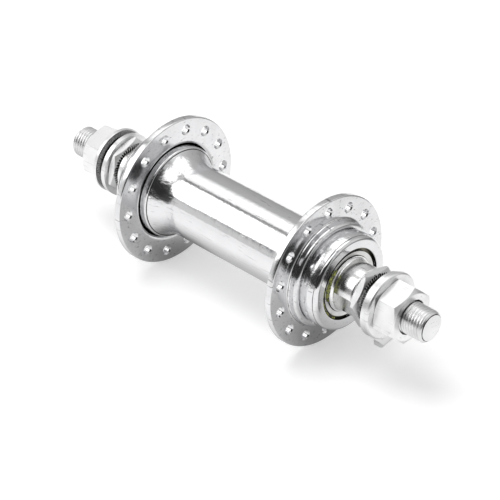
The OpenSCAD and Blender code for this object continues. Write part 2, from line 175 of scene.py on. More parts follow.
parts = add(tree, "SeparateXYZ", (place,))
beside = reckon(tree, "ABSOLUTE", parts["X"])
outboard = reckon(tree, "ABSOLUTE", parts["Y"])
shade = ramp(tree, beside, 0, shade_reach, shade_low, shade_high, soft=True)
fading = ramp(tree, outboard, shade_fades_from, shade_fades_to, soft=True)
faded = add(tree, "Mix", {"Factor": fading, "A": shade, "B": shade_high})["Result"]
past = reckon(tree, "SUBTRACT", outboard, contact_y)
from_foot = add(tree, "CombineXYZ", (beside, past))[0]
foot_distance = add(tree, "VectorMath", (from_foot,), operation="LENGTH")["Value"]
painted_contact_shade = ramp(tree, foot_distance, contact_near, contact_far, contact_level, soft=True)
shaded = reckon(tree, "MULTIPLY", faded, painted_contact_shade)
# The floor that the metal sees: its tones, darkened by the painted shade of the hub
reflected_level = reckon(tree, "MULTIPLY", tones.outputs[0], shaded)
reflected = add(tree, "Emission", {"Strength": reflected_level})[0]
sight = add(tree, "LightPath")
by_eye = add(tree, "MixShader", (sight["Is Camera Ray"], matt, both))[0]
by_metal = add(tree, "MixShader", (sight["Is Glossy Ray"], by_eye, reflected))[0]
add(tree, "OutputMaterial", (by_metal,))
floor.data.materials.append(floor_paint)

# A tent of grey cloth round the hub, which only the metal sees in its reflections.
# Soft boxes glow through it at the back left and overhead, and its front is open and
# dark. Each is a round patch: compass, height, reach and soft edge in degrees, level.
tent_r = 1.6
tent_facets = 4
tent_patches = {
    "dark_side": (172, 20, 27, 7, 0.05),
    "front_opening": (214, 24, 40, 6, 0.03),
    "left_cloth": (134, 4, 14, 4, 0.75),
    "front_right_cloth": (304, 32, 30, 10, 0.8),
    "right_soft_box": (20, 74, 23, 3, 1.9),
    "back_soft_box": (64, 59, 14, 8.5, 1.5),
    "top_left_soft_box": (188, 70, 19, 4, 1.7),
    "left_soft_box": (127, 36, 21.5, 1.5, 2.2),
}
# The cloth is lighter higher up, between these two sines of the height.
tent_low_at = -0.1
tent_high_at = 0.7
tent_low = 0.36
tent_high = 0.56
# The two halves of the tent meet in a dark seam overhead, broken by its stitches.
seam_compass = 98
seam_half = 2.0
seam_soft = 0.9
seam_from = 0.7
seam_level = 0.1
seam_stitches = 110
stitch_from = 0.36
stitch_to = 0.56
stitch_least = 0.25


def toward(compass, height):
    a, e = math.radians(compass), math.radians(height)
    return Vector((math.cos(a) * math.cos(e), math.sin(a) * math.cos(e), math.sin(e)))


def noise(tree, place, scale, detail=2):
    return add(tree, "TexNoise", {"Vector": place, "Scale": scale, "Detail": detail})["Fac"]


def tent_cloth():
    cloth = bpy.data.materials.new("tent_cloth")
    cloth.use_nodes = True
    tree = cloth.node_tree
    tree.nodes.clear()
    place = add(tree, "TexCoord")["Object"]
    way = add(tree, "VectorMath", (place,), operation="NORMALIZE")[0]
    rise = add(tree, "SeparateXYZ", (way,))["Z"]
    level = ramp(tree, rise, tent_low_at, tent_high_at, tent_low, tent_high)
    for compass, height, reach, edge, glow in tent_patches.values():
        near = add(tree, "VectorMath", (way, toward(compass, height)), operation="DOT_PRODUCT")["Value"]
        outer, inner = math.radians(reach + edge), math.radians(reach - edge)
        patch = ramp(tree, near, math.cos(outer), math.cos(inner), soft=True)
        level = add(tree, "Mix", {"Factor": patch, "A": level, "B": glow})["Result"]
    across = add(tree, "VectorMath", (way, toward(seam_compass + 90, 0)), operation="DOT_PRODUCT")["Value"]
    off = reckon(tree, "ABSOLUTE", across)
    outer, inner = math.radians(seam_half + seam_soft), math.radians(seam_half - seam_soft)
    seam = ramp(tree, off, math.sin(outer), math.sin(inner), soft=True)
    overhead = reckon(tree, "GREATER_THAN", rise, seam_from)
    seamed = reckon(tree, "MULTIPLY", seam, overhead)
    broken = ramp(tree, noise(tree, place, seam_stitches), stitch_from, stitch_to, stitch_least)
    stitched = reckon(tree, "MULTIPLY", seamed, broken)
    sewn = add(tree, "Mix", {"Factor": stitched, "A": level, "B": seam_level})["Result"]
    shade = add(tree, "Emission", {"Strength": sewn})[0]
    add(tree, "OutputMaterial", (shade,))
    return cloth


tent_frame = bmesh.new()
bmesh.ops.create_icosphere(tent_frame, subdivisions=tent_facets, radius=tent_r)
tent = placed("tent", tent_frame)
tent.data.materials.append(tent_cloth())
tent.visible_camera = False
tent.visible_diffuse = False
tent.visible_shadow = False
tent.visible_transmission = False

# Two broad soft lamps light the floor: one overhead, and one low on the left. The
# metal sees the tent's soft boxes in their stead. Each is a place, a size and a power.
lamps = {
    "overhead_lamp": ((-0.15, 0.25, 1.1), 0.7, 6.5),
    "left_lamp": ((-1.0, 0.35, 0.55), 0.6, 3.0),
}
for name, (lamp_at, size, power) in lamps.items():
    lamp_data = bpy.data.lights.new(name, "AREA")
    lamp_data.size = size
    lamp_data.energy = power
    lamp = bpy.data.objects.new(name, lamp_data)
    lamp.location = lamp_at
    lamp.rotation_mode = "QUATERNION"
    lamp.rotation_quaternion = (-Vector(lamp_at)).to_track_quat("-Z", "Y")
    lamp.visible_glossy = False
    bpy.context.collection.objects.link(lamp)

# The barrel is one steel tube, swaged out to a bead at each end and chromed.
# It is turned from its outline, in millimetres, as are all the round pieces.
mm = 0.001
lathe_steps = 288
weld = 1e-7
sharp_angle = math.radians(28)
SIDES = {"right": -1, "left": 1}
barrel_r = 11.15
barrel_wall = 1.3
flare_r = 13.6
flare_len = 8.0
flare_curve = 2.4
flare_steps = 28
bead_h = 0.6
bead_flat = 1.0
cup_step = 1.0
flange_offset = 29.2
flange_t = 2.1
collar_h = 2.9
cup_r = 12.8813
press_gap = 0.02
end_wall = 1.4
end_swell = 0.3
swell_steps = 12
seat_step = 0.1
end_groove = 0.5
end_groove_w = 0.4
cup_mouth_z = 38.0
cup_floor_z = 32.2687
cap_skirt = 0.9
bore_round = 1.6

cup_seat_r = cup_r + press_gap
barrel_end_r = cup_seat_r + end_wall
barrel_seat_r = barrel_end_r + seat_step
barrel_end_z = cup_mouth_z + cap_skirt
collar_end_z = flange_offset + flange_t + collar_h
bead_z = flange_offset - bead_flat - bead_h
flare_start_z = bead_z - flare_len
cup_step_r = cup_seat_r - cup_step


def arc(cx, cz, r, start, end, steps=12):
    angles = [math.radians(start + (end - start) * i / steps) for i in range(steps + 1)]
    return [(cx + r * math.cos(a), cz + r * math.sin(a)) for a in angles]


def bell(r0, r1):
    """The flare's curve from one radius to another."""
    shares = [i / flare_steps for i in range(flare_steps + 1)]
    return [(r0 + (r1 - r0) * share ** flare_curve, flare_start_z + flare_len * share) for share in shares]


def turned(outline, side=1, steps=lathe_steps):
    """A closed outline of radius and distance outboard, turned about the axle."""
    bm = bmesh.new()
    ring = [bm.verts.new((r * mm, side * z * mm, 0)) for r, z in outline]
    for a, b in zip(ring, ring[1:] + ring[:1]):
        bm.edges.new((a, b))
    bmesh.ops.spin(bm, geom=bm.verts[:] + bm.edges[:], cent=(0, 0, 0), axis=(0, 1, 0),
                   angle=math.tau, steps=steps, use_merge=True)
    bmesh.ops.remove_doubles(bm, verts=bm.verts[:], dist=weld)
    bmesh.ops.recalc_face_normals(bm, faces=bm.faces[:])
    return bm


def mark_sharp(bm):
    """Makes the faces smooth, and keeps the edges where they meet at an angle."""
    for face in bm.faces:
        face.smooth = True
    for edge in bm.edges:
        edge.smooth = len(edge.link_faces) != 2 or edge.calc_face_angle(0) < sharp_angle


def as_object(bm, name):
    mark_sharp(bm)
    return placed(name, bm)


def baked(piece):
    """Applies a piece's modifiers and marks its sharp edges again."""
    graph = bpy.context.evaluated_depsgraph_get()
    bm = bmesh.new()
    bm.from_mesh(piece.evaluated_get(graph).to_mesh())
    piece.modifiers.clear()
    bmesh.ops.remove_doubles(bm, verts=bm.verts[:], dist=2 * weld)
    mark_sharp(bm)
    bm.to_mesh(piece.data)
    bm.free()


def cut(piece, cutter_bm, operation="DIFFERENCE"):
    """Cuts a piece with another shape, or joins the two."""
    cutter = as_object(cutter_bm, "cutter")
    knife = piece.modifiers.new("cut", "BOOLEAN")
    knife.object = cutter
    knife.operation = operation
    knife.solver = "EXACT"
    baked(piece)
    cutter_mesh = cutter.data
    bpy.data.objects.remove(cutter)
    bpy.data.meshes.remove(cutter_mesh)


def soften(piece, width, segments=2):
    """Breaks the edges, as tumbling and plating do."""
    edges = piece.modifiers.new("edges", "BEVEL")
    edges.width = width * mm
    edges.segments = segments
    edges.limit_method = "ANGLE"
    edges.angle_limit = sharp_angle
    edges.harden_normals = True
    edges.miter_outer = "MITER_ARC"


def dress(piece, node, material):
    """Puts a piece in the place of its CAD node, on the same body."""
    body = next(b for b, nodes in frame["record"]["behaviour"]["bodies"].items() if node in nodes)
    piece.data.materials.clear()
    piece.data.materials.append(material)
    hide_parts(node)
    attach(piece, body)


# Wear on plated steel: scratches drawn out one way, rubbed patches, ripples and grit
scratch_stretch = (900, 160, 2200)
scratch_turn = (0.4, 0.9, 0.2)
scratch_from = 0.62
scratch_full = 0.72
scratch_shade = 0.45
patch_scale = 240
patch_from = 0.3
patch_full = 0.75
ripple_scale = 520
grit_scale = 2400
grit_share = 0.35
relief = 0.0002
# Grime and painted shade in a joint are whole out to one share of its reach, and have a ragged edge beyond
# that.
grime_shade_colour = (0.025, 0.024, 0.02)
grime_shade_clots = 700
grime_shade_ragged = 0.9
grime_shade_whole = 1.15
grime_shade_end = 1.5


def new_group(name, given, results):
    """A node group with its inputs and outputs, all of them plain numbers."""
    group = bpy.data.node_groups.new(name, "ShaderNodeTree")
    for label, value in given.items():
        socket = group.interface.new_socket(label, in_out="INPUT", socket_type="NodeSocketFloat")
        socket.default_value = value
    for label in results:
        group.interface.new_socket(label, in_out="OUTPUT", socket_type="NodeSocketFloat")
    return group, group.nodes.new("NodeGroupInput").outputs, group.nodes.new("NodeGroupOutput").inputs


def wear_group():
    """Fine scratches and rubbed patches, and the height of these with ripples and grit."""
    group, given, out = new_group("wear", {"Scratches": 0.5}, ("Scratch", "Patch", "Height"))
    place = add(group, "TexCoord")["Object"]
    turned_place = add(group, "Mapping", {"Vector": place, "Rotation": scratch_turn,
                                          "Scale": scratch_stretch})[0]
    lines = ramp(group, noise(group, turned_place, 1, 3), scratch_from, scratch_full)
    scratch = reckon(group, "MULTIPLY", lines, given["Scratches"])
    ripple = noise(group, place, ripple_scale)
    grit = noise(group, place, grit_scale)
    rough = reckon(group, "MULTIPLY_ADD", grit, grit_share, ripple)
    group.links.new(scratch, out["Scratch"])
    group.links.new(noise(group, place, patch_scale, 5), out["Patch"])
    group.links.new(reckon(group, "SUBTRACT", rough, scratch), out["Height"])
    return group


def grime_shade_group():
    """Black grease and dust caught in a joint, with painted shade there: a ring of a radius at a place along
    the axle.
    """
    group, given, out = new_group("joint_grime_shade", {"Radius": 14.4, "Place": 29.6, "Reach": 0.5, "Depth": 0.5},
                                  ("Mask",))
    place = add(group, "TexCoord")["Object"]
    parts = add(group, "SeparateXYZ", (place,))
    across = add(group, "CombineXYZ", {"X": parts["X"], "Z": parts["Z"]})[0]
    radius = add(group, "VectorMath", (across,), operation="LENGTH")["Value"]
    outboard = reckon(group, "ABSOLUTE", parts["Y"])
    shares = []
    for measured, label, reach in ((radius, "Radius", "Reach"), (outboard, "Place", "Depth")):
        in_mm = reckon(group, "MULTIPLY", measured, 1 / mm)
        away = reckon(group, "SUBTRACT", in_mm, given[label])
        shares.append(reckon(group, "DIVIDE", away, given[reach]))
    off = add(group, "CombineXYZ", shares)[0]
    distance = add(group, "VectorMath", (off,), operation="LENGTH")["Value"]
    edge = reckon(group, "MULTIPLY_ADD", noise(group, place, grime_shade_clots, 3), grime_shade_ragged, distance)
    group.links.new(ramp(group, edge, grime_shade_end, grime_shade_whole, soft=True), out["Mask"])
    return group


wear = wear_group()
joint_grime_shade = grime_shade_group()


def tinted(tree, share, under, over):
    """One colour laid over another."""
    return add(tree, "Mix", {"Factor": share, "A": under, "B": over}, data_type="RGBA")["Result"]


def metal(name, colour, dull, rough_low, rough_high, scratches=0.4, bump=0.04, turned_finish=0.0,
          grime_shade_rings=(), swaged=None):
    """A worn metal: its colours and finish, and the joints in which grime and painted shade
    sit, each as its radius, its place along the axle, and its reach across and along, in millimetres.
    A swaged tube is rougher and more rippled outboard, between the two places given."""
    made = bpy.data.materials.new(name)
    made.use_nodes = True
    tree = made.node_tree
    surface = tree.nodes["Principled BSDF"].inputs
    surface["Metallic"].default_value = 1
    worn = add(tree, "Group", {"Scratches": scratches}, node_tree=wear)
    base = tinted(tree, worn["Patch"], (*colour, 1), (*dull, 1))
    base = tinted(tree, worn["Scratch"], base, (*(scratch_shade * c for c in dull), 1))
    dirt_and_shade = None
    for radius, along, reach, depth in grime_shade_rings:
        ring = add(tree, "Group", {"Radius": radius, "Place": along, "Reach": reach, "Depth": depth},
                   node_tree=joint_grime_shade)["Mask"]
        dirt_and_shade = ring if dirt_and_shade is None else reckon(tree, "MAXIMUM", dirt_and_shade, ring)
    # The joints' rings are painted dark: grime, and painted shade where light falls short.
    if dirt_and_shade is not None:
        base = tinted(tree, dirt_and_shade, base, (*grime_shade_colour, 1))
    finish = ramp(tree, worn["Patch"], patch_from, patch_full, rough_low, rough_high)
    height = worn["Height"]
    if swaged:
        begin, full, rougher, deeper = swaged
        place = add(tree, "TexCoord")["Object"]
        outboard = reckon(tree, "ABSOLUTE", add(tree, "SeparateXYZ", (place,))["Y"])
        drawn = ramp(tree, outboard, begin * mm, full * mm, soft=True)
        finish = reckon(tree, "MULTIPLY_ADD", drawn, rougher, finish)
        height = reckon(tree, "MULTIPLY", height, reckon(tree, "MULTIPLY_ADD", drawn, deeper, 1))
    bumps = add(tree, "Bump", {"Strength": bump, "Distance": relief, "Height": height})[0]
    tree.links.new(base, surface["Base Color"])
    tree.links.new(finish, surface["Roughness"])
    tree.links.new(bumps, surface["Normal"])
    if turned_finish:
        surface["Anisotropic"].default_value = turned_finish
        tree.links.new(add(tree, "Tangent", direction_type="RADIAL", axis="Y")[0], surface["Tangent"])
    return made


# The chrome's dark rings are grime and painted shade in the joints at the flanges and beads.
chrome = metal("barrel_chrome", (0.8, 0.8, 0.81), (0.74, 0.74, 0.75), 0.05, 0.12, bump=0.13,
               grime_shade_rings=((14.4, 29.9, 0.25, 0.42), (13.65, 27.6, 0.14, 0.18)), swaged=(19, 24, 0.09, 2.5))


def barrel_half():
    """The tube's outer and inner lines, from the start of its flare to its end."""
    groove_z = collar_end_z + end_groove_w
    outer = (bell(barrel_r, flare_r)
             + arc(flare_r, bead_z + bead_h, bead_h, -90, 0)
             + [(flare_r + bead_h, flange_offset), (barrel_seat_r, flange_offset + bore_round / 2),
                (barrel_seat_r, collar_end_z), (barrel_seat_r - end_groove, collar_end_z),
                (barrel_seat_r - end_groove, groove_z)]
             + [(barrel_end_r + end_swell * math.sin(math.pi * i / swell_steps),
                 groove_z + (barrel_end_z - groove_z) * i / swell_steps) for i in range(swell_steps + 1)])
    inner = ([(cup_seat_r, barrel_end_z), (cup_seat_r, cup_floor_z), (cup_step_r, cup_floor_z)]
             + bell(barrel_r - barrel_wall, cup_step_r)[::-1])
    return outer, inner


outer, inner = barrel_half()
barrel_outline = ([(r, -z) for r, z in reversed(outer)] + outer + inner
                  + [(r, -z) for r, z in reversed(inner)])
barrel = as_object(turned(barrel_outline), "chromed_barrel")
dress(barrel, "barrel", chrome)

# The flanges are pressed steel discs with drawn collars, chromed with the barrel.
# Their faces were turned, so they throw light in fans, and the holes are punched.
flange_r = 23.05
collar_wall = 1.58
collar_round = 1.1
collar_fillet = 0.8
rim_round = 0.35
rim_steps = 6
spoke_circle_r = 19.4
spoke_holes = 14
spoke_hole_r = 1.3
spoke_hole_steps = 28
spoke_sink = 0.38
punch_reach = 0.6
spoke_angle = {"left": 0, "right": 180 / spoke_holes}
flange_bore_r = barrel_seat_r + press_gap
collar_r = flange_bore_r + collar_wall
outer_z = flange_offset + flange_t
# The flanges' dark rings are grime and painted shade at the roots of the collars.
flange_chrome = metal("flange_chrome", (0.8, 0.8, 0.81), (0.68, 0.68, 0.69), 0.11, 0.22,
                      scratches=0.9, bump=0.07, turned_finish=0.6,
                      grime_shade_rings=((14.4, 30.55, 0.3, 0.62), (16.12, 31.42, 0.2, 0.2)))


def around(bm, angle):
    """Turns a shape made at angle 0 to its angle about the axle."""
    turn = Matrix.Rotation(-math.radians(angle), 3, "Y")
    bmesh.ops.rotate(bm, verts=bm.verts[:], cent=(0, 0, 0), matrix=turn)
    return bm


def gather(whole, part):
    """Adds a shape to others, so that they cut as one."""
    mesh = bpy.data.meshes.new("part")
    part.to_mesh(mesh)
    part.free()
    whole.from_mesh(mesh)
    bpy.data.meshes.remove(mesh)


def spoke_punches(side, angle):
    """One punch for each hole, with a countersink at both faces of the flange."""
    wide = spoke_hole_r + spoke_sink
    outline = [(0, flange_offset - punch_reach), (wide, flange_offset - punch_reach), (wide, flange_offset),
               (spoke_hole_r, flange_offset + spoke_sink), (spoke_hole_r, outer_z - spoke_sink),
               (wide, outer_z), (wide, outer_z + punch_reach), (0, outer_z + punch_reach)]
    punches = bmesh.new()
    for i in range(spoke_holes):
        one = turned(outline, side, spoke_hole_steps)
        bmesh.ops.translate(one, verts=one.verts[:], vec=(spoke_circle_r * mm, 0, 0))
        gather(punches, around(one, angle + 360 * i / spoke_holes))
    return punches


flange_outline = (arc(flange_bore_r + bore_round, flange_offset + bore_round, bore_round, 180, 270)
                  + arc(flange_r - rim_round, flange_offset + rim_round, rim_round, 270, 360, rim_steps)
                  + arc(flange_r - rim_round, outer_z - rim_round, rim_round, 0, 90, rim_steps)
                  + arc(collar_r + collar_fillet, outer_z + collar_fillet, collar_fillet, 270, 180)
                  + arc(collar_r - collar_round, collar_end_z - collar_round, collar_round, 0, 90)
                  + [(flange_bore_r, collar_end_z)])
for label, side in SIDES.items():
    flange = as_object(turned(flange_outline, side), label + "_drilled_flange")
    cut(flange, spoke_punches(side, spoke_angle[label]))
    dress(flange, label + "_flange", flange_chrome)

# The cups are hardened steel, pressed into the barrel's ends. The balls run in
# them, held by a stamped retainer, all behind the dust cap and in thin grease.
race_steel = metal("race_steel", (0.22, 0.21, 0.18), (0.1, 0.095, 0.08), 0.2, 0.4)
ball_steel = metal("ball_steel", (0.82, 0.83, 0.85), (0.78, 0.79, 0.8), 0.04, 0.08, scratches=0.1)
retainer_steel = metal("retainer_steel", (0.2, 0.19, 0.15), (0.09, 0.085, 0.065), 0.3, 0.5)
bearing_steel = {"bearing_cup": race_steel, "bearing_balls": ball_steel, "ball_retainer": retainer_steel}
for label in SIDES:
    for node, steel in bearing_steel.items():
        mesh = frame["nodes"][label + "_" + node].data
        mesh.materials.clear()
        mesh.materials.append(steel)

# The dust caps are thin chromed pressings. Each is pressed into the barrel's end,
# over the mouth of the bearing cup, and its hole leaves room for the cone.
cap_hole_r = 10.9
cap_h = 1.3
cap_t = 0.8
cap_round = 1.1
cap_fall = 0.1
cap_lip = 0.2
cap_lip_steps = 5
cup_mouth_r = 11.7313
cap_top = barrel_end_z + cap_h
cap_skirt_r = cup_mouth_r + press_gap
cap_outline = ([(cap_skirt_r, cup_mouth_z), (cup_r, cup_mouth_z), (cup_r, barrel_end_z),
                (barrel_end_r, barrel_end_z)]
               + arc(barrel_end_r - cap_round, cap_top - cap_round, cap_round, 0, 90)
               + arc(cap_hole_r + cap_lip, cap_top - cap_fall - cap_lip, cap_lip, 90, 180, cap_lip_steps)
               + [(cap_hole_r, cap_top - cap_t), (cap_skirt_r, cap_top - cap_t)])
# The caps' dark rings are grime and painted shade at the barrel's end and round the hole.
cap_chrome = metal("cap_chrome", (0.8, 0.8, 0.81), (0.7, 0.7, 0.71), 0.08, 0.16, bump=0.06,
                   grime_shade_rings=((14.4, 38.85, 0.35, 0.3), (11.0, 39.2, 0.35, 0.75)))
for label, side in SIDES.items():
    cap = as_object(turned(cap_outline, side), label + "_chromed_dust_cap")
    dress(cap, label + "_dust_cap", cap_chrome)

# The dust shields are dished steel rings, zinc plated. Each is pressed on its cone's
# shoulder and closes the dust cap's hole, but for a narrow gap.
cone_shoulder_r = 7.9
shield_r = 9.9
shield_z = 38.9
shield_t = 0.6
shield_dish = 0.3
shield_seat = 0.8
shield_edge = 0.12
shield_bore_r = cone_shoulder_r + press_gap
shield_flat_r = shield_bore_r + shield_seat
# The shield's dark ring is grime and painted shade in the groove by the cone's collar.
shield_zinc = metal("shield_zinc", (0.86, 0.86, 0.86), (0.62, 0.62, 0.6), 0.24, 0.4, bump=0.07,
                    grime_shade_rings=((8.35, 39.5, 0.25, 0.4),))
shield_outline = [(shield_bore_r, shield_z), (shield_flat_r, shield_z),
                  (shield_r, shield_z + shield_dish),
                  (shield_r, shield_z + shield_dish + shield_t),
                  (shield_flat_r, shield_z + shield_t), (shield_bore_r, shield_z + shield_t)]
for label, side in SIDES.items():
    shield = as_object(turned(shield_outline, side), label + "_dished_shield")
    soften(shield, shield_edge)
    dress(shield, label + "_dust_shield", shield_zinc)

# The cones are turned and ground from bar, with two wrench flats milled on.
# Each has a race behind its dust shield, on which the balls roll.
cone_body_r = 7.5
cone_collar_r = 8.4
cone_collar_t = 0.3
cone_collar_z = shield_z + shield_t
cone_fillet = cone_collar_r - cone_body_r
cone_nose_len = 2.6
cone_end_z = 47.4
cone_flat_len = 6.7
ball_z = 36.0
cone_nose_z = ball_z - cone_nose_len
cone_chamfer = 0.4
cone_end_chamfer = 0.9
cone_flat = 6.5
cone_flat_z = cone_end_z - cone_flat_len
cone_edge = 0.15
mill_len = 10
mill_depth = 2 * cone_body_r
ball_circle_r = 9.2
race_r = 2.4313
race_land = 0.1
race_steps = 10
race_land_r = ball_circle_r - race_r - race_land
cone_bore_r = 4.8125
cone_angle = {"right": 21, "left": 100}
# The cone's dark rings are grime and painted shade at the shield and at the locknut.
cone_steel = metal("ground_cone_steel", (0.95, 0.95, 0.95), (0.86, 0.86, 0.85), 0.18, 0.28,
                   scratches=0.6, turned_finish=0.3, grime_shade_rings=((8.4, 39.5, 0.3, 0.3), (6.6, 47.4, 0.3, 0.3)))
race_turn = math.degrees(math.asin((cone_shoulder_r - ball_circle_r) / race_r))
cone_outline = ([(cone_bore_r, cone_nose_z), (race_land_r - cone_chamfer, cone_nose_z),
                 (race_land_r, cone_nose_z + cone_chamfer)]
                + arc(ball_circle_r, ball_z, race_r, 180, 90 - race_turn, race_steps)
                + [(cone_shoulder_r, cone_collar_z), (cone_collar_r, cone_collar_z)]
                + arc(cone_collar_r, cone_collar_z + cone_collar_t + cone_fillet, cone_fillet, -90, -180)
                + [(cone_body_r, cone_end_z - cone_end_chamfer),
                   (cone_body_r - cone_end_chamfer, cone_end_z), (cone_bore_r, cone_end_z)])
for label, side in SIDES.items():
    cone = as_object(turned(cone_outline, side), label + "_ground_cone")
    mill = bmesh.new()
    for turn in (0, 180):
        block = bmesh.new()
        bmesh.ops.create_cube(block, size=1)
        bmesh.ops.scale(block, verts=block.verts[:],
                        vec=(mill_depth * mm, mill_len * mm, 2 * mill_depth * mm))
        middle = ((cone_flat + mill_depth / 2) * mm, side * (cone_flat_z + mill_len / 2) * mm, 0)
        bmesh.ops.translate(block, verts=block.verts[:], vec=middle)
        gather(mill, around(block, cone_angle[label] + turn))
    cut(cone, mill)
    soften(cone, cone_edge)
    dress(cone, label + "_cone", cone_steel)

# Old grease has been pushed out past the right dust shield. It clings in lumps to
# the shield's left side and in a thin line to the dust cap's lip.
grease_colour = (0.05, 0.058, 0.014)
grease_skin = (0.6, 0.64, 0.16)
grease_clots = 1500
grease_skin_from = 0.42
grease_skin_full = 0.62
grease_bump = 0.4
grease_wet = 0.25
grease_dry = 0.5
lump_flat = 0.6
shield_lumps = {"start": 126, "end": 192, "near": 8.5, "far": 9.4, "out": 39.75,
                "least": 0.25, "most": 0.6, "count": 70}
lip_lumps = {"start": 150, "end": 240, "near": 10.5, "far": 10.9, "out": 39.7,
             "least": 0.2, "most": 0.42, "count": 60}


def grease_paint():
    """Dark grease with a yellow skin on its lumps, which has dried in places."""
    paint = bpy.data.materials.new("old_grease")
    paint.use_nodes = True
    tree = paint.node_tree
    surface = tree.nodes["Principled BSDF"].inputs
    clots = noise(tree, add(tree, "TexCoord")["Object"], grease_clots, 4)
    skin = ramp(tree, clots, grease_skin_from, grease_skin_full)
    lumps = add(tree, "Bump", {"Strength": grease_bump, "Distance": relief, "Height": clots})[0]
    tree.links.new(tinted(tree, skin, (*grease_colour, 1), (*grease_skin, 1)), surface["Base Color"])
    tree.links.new(ramp(tree, clots, 0, 1, grease_wet, grease_dry), surface["Roughness"])
    tree.links.new(lumps, surface["Normal"])
    return paint


def smear(name, lumps, body, seed):
    """Many small flat lumps that run together, scattered the same way each time."""
    scatter = random.Random(seed)
    flat = Matrix.Diagonal((1, lump_flat, 1, 1))
    bm = bmesh.new()
    for _ in range(lumps["count"]):
        size = scatter.uniform(lumps["least"], lumps["most"]) * mm
        r = scatter.uniform(lumps["near"], lumps["far"]) * mm
        a = math.radians(scatter.triangular(lumps["start"], lumps["end"]))
        spot = Matrix.Translation((r * math.cos(a), -lumps["out"] * mm, r * math.sin(a)))
        bmesh.ops.create_icosphere(bm, subdivisions=2, radius=size, matrix=spot @ flat)
    piece = as_object(bm, name)
    piece.data.materials.append(grease_paint())
    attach(piece, body)


smear("shield_grease", shield_lumps, "axle_set", 4)
smear("cap_lip_grease", lip_lumps, "hub_shell", 9)

# The axle is a steel rod with a rolled right-hand thread at both ends.
# The thread is a true helix, cut off by the chamfer at each end.
axle_half = 70.0
axle_r = 4.7625
axle_chamfer = 0.9
thread_pitch = 0.977
thread_depth = 0.5
thread_crest = 0.22
thread_root = 0.12
thread_len = 45.0
thread_steps = 96
coarse_weld = 1e-6
shank_step = 0.3
shank_lap = 0.2
end_spare = 0.5
end_skin = 0.01
# A solid shape is turned from this radius, just off the middle line
core_r = 0.01
shank_r = axle_r - shank_step
thread_end = thread_len - axle_half
# The axle's end has a thin dark ring painted where its chamfer starts.
thread_steel = metal("rolled_thread_steel", (0.88, 0.88, 0.88), (0.72, 0.72, 0.72), 0.26, 0.4,
                     scratches=0.1, bump=0.02, grime_shade_rings=((3.95, 69.88, 0.2, 0.12),))
end_steel = metal("sawn_end_steel", (0.94, 0.94, 0.94), (0.86, 0.86, 0.86), 0.38, 0.5, bump=0.09)
half_rod = [(core_r, -axle_half), (axle_r - axle_chamfer, -axle_half), (axle_r, axle_chamfer - axle_half),
            (axle_r, thread_end), (shank_r, thread_end + shank_step)]
rod_outline = half_rod + [(r, -y) for r, y in reversed(half_rod)]
shank_outline = [(core_r, thread_end - shank_lap), (shank_r, thread_end - shank_lap),
                 (shank_r, shank_lap - thread_end), (core_r, shank_lap - thread_end)]


def thread_body(start, end):
    """A threaded length between two places on the axle, closed at both ends."""
    flank = (thread_pitch - thread_crest - thread_root) / 2
    root_r = axle_r - thread_depth
    turns = math.ceil((end - start) / thread_pitch) + 3
    points = []
    y = start - 2 * thread_pitch
    for _ in range(turns):
        root_y = y + thread_crest + flank
        points += [(axle_r, y), (axle_r, y + thread_crest), (root_r, root_y), (root_r, root_y + thread_root)]
        y += thread_pitch
    points.append((axle_r, y))
    bm = bmesh.new()
    line = [bm.verts.new((r * mm, v * mm, 0)) for r, v in points]
    for a, b in zip(line, line[1:]):
        bm.edges.new((a, b))
    bmesh.ops.spin(bm, geom=bm.verts[:] + bm.edges[:], cent=(0, 0, 0), axis=(0, 1, 0),
                   dvec=(0, thread_pitch * mm / thread_steps, 0), angle=math.tau, steps=thread_steps)
    bmesh.ops.remove_doubles(bm, verts=bm.verts[:], dist=coarse_weld)
    for cut_y, out in ((start * mm, -1), (end * mm, 1)):
        bmesh.ops.bisect_plane(bm, geom=bm.verts[:] + bm.edges[:] + bm.faces[:], dist=1e-8,
                               plane_co=(0, cut_y, 0), plane_no=(0, out, 0), clear_outer=True)
        rim = [e for e in bm.edges
               if e.is_boundary and all(abs(v.co.y - cut_y) < coarse_weld for v in e.verts)]
        bmesh.ops.edgeloop_fill(bm, edges=rim)
    bmesh.ops.recalc_face_normals(bm, faces=bm.faces[:])
    return bm


axle = as_object(turned(rod_outline, 1, thread_steps), "threaded_axle")
threads = thread_body(-axle_half - end_spare, thread_end)
gather(threads, thread_body(-thread_end, axle_half + end_spare))
rod = as_object(threads, "rod")
cut(rod, turned(shank_outline, 1, thread_steps), "UNION")
threaded = bmesh.new()
threaded.from_mesh(rod.data)
bpy.data.objects.remove(rod)
cut(axle, threaded, "INTERSECT")
dress(axle, "axle", thread_steel)
axle.data.materials.append(end_steel)
for polygon in axle.data.polygons:
    if abs(polygon.center.y) > (axle_half - end_skin) * mm:
        polygon.material_index = 1

# The locknuts are thin hexagons, serrated on both faces, and plated with zinc.
# They were tightened against the cones. The sides of their teeth are painted black,
# as grime and as painted shade in the grooves.
locknut_z = 47.4
locknut_t = 2.6
locknut_af = 16.0
locknut_face_r = 7.6
locknut_teeth = 56
locknut_ring_r = 5.8
locknut_ring_edge = 7.8
locknut_edge = 0.07
tooth_depth = 0.27
tooth_skin = 0.01
tooth_flat = 0.95
# On the right, the teeth's painted shade and grime is black only above this height.
tooth_shade_above = {"right": 5.2, "left": -locknut_ring_edge}
locknut_angle = {"right": 54.5, "left": 16.5}
corner_slope = math.radians(30)
corner_spare = 1
corner_step = 0.01
bore_chamfer = 0.35
nut_steps = 144


